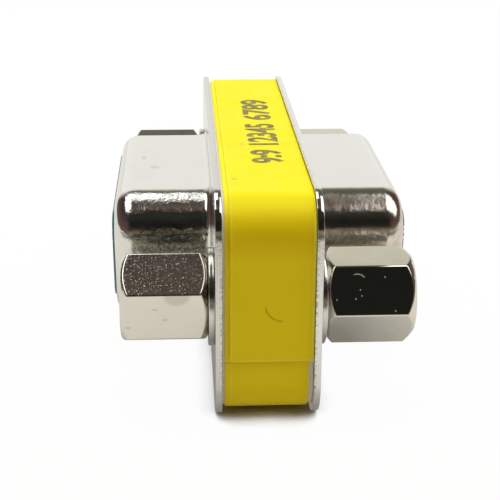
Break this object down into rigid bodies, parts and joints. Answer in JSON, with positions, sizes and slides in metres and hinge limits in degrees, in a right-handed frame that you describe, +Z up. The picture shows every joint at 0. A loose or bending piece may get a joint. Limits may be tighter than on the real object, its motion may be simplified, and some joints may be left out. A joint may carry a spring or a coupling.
{
  "type": "d-sub gender changer",
  "caption": "Slim D-sub gender changer, socket to socket, with plated D shells, teal insulators, hexagonal jack hardware and a yellow tape label round its middle.",
  "frame": {"origin": "middle of the part: on the mating axis, midway between the two flanges", "axes": "+X along the mating axis towards the jack-nut side, +Y along the flanges, +Z up towards the wide side of both D shrouds"},
  "size_m": [0.0168, 0.0308, 0.0126],
  "materials": {
    "plated_shell": "bright nickel plate on drawn steel, slightly smudged",
    "plated_screw": "nickel plate on turned hexagon, grainy on some faces",
    "plated_nut": "bright nickel plate on turned hexagon",
    "plated_washer": "dull plated spring steel",
    "teal_insulator": "moulded, satin",
    "rear_insulator": "moulded, satin",
    "gold_contact": "thin gold plate on turned copper alloy",
    "board": "coated glass laminate",
    "cream_spacer": "moulded, satin",
    "yellow_tape": "semi-gloss film, lightly scuffed"
  },
  "bodies": {
    "root": {"left_shell": "plated_shell", "left_insulator": "teal_insulator", "left_rear_plate": "rear_insulator", "left_contact_1": "gold_contact", "left_contact_2": "gold_contact", "left_contact_3": "gold_contact", "left_contact_4": "gold_contact", "left_contact_5": "gold_contact", "left_contact_6": "gold_contact", "left_contact_7": "gold_contact", "left_contact_8": "gold_contact", "left_contact_9": "gold_contact", "right_shell": "plated_shell", "right_insulator": "teal_insulator", "right_rear_plate": "rear_insulator", "right_contact_1": "gold_contact", "right_contact_2": "gold_contact", "right_contact_3": "gold_contact", "right_contact_4": "gold_contact", "right_contact_5": "gold_contact", "right_contact_6": "gold_contact", "right_contact_7": "gold_contact", "right_contact_8": "gold_contact", "right_contact_9": "gold_contact", "circuit_board": "board", "spacer_frame": "cream_spacer", "label_tape": "yellow_tape", "near_jack_screw": "plated_screw", "near_jack_nut": "plated_nut", "near_left_washer": "plated_washer", "near_right_washer": "plated_washer", "far_jack_screw": "plated_screw", "far_jack_nut": "plated_nut", "far_left_washer": "plated_washer", "far_right_washer": "plated_washer"}
  },
  "joints": []
}
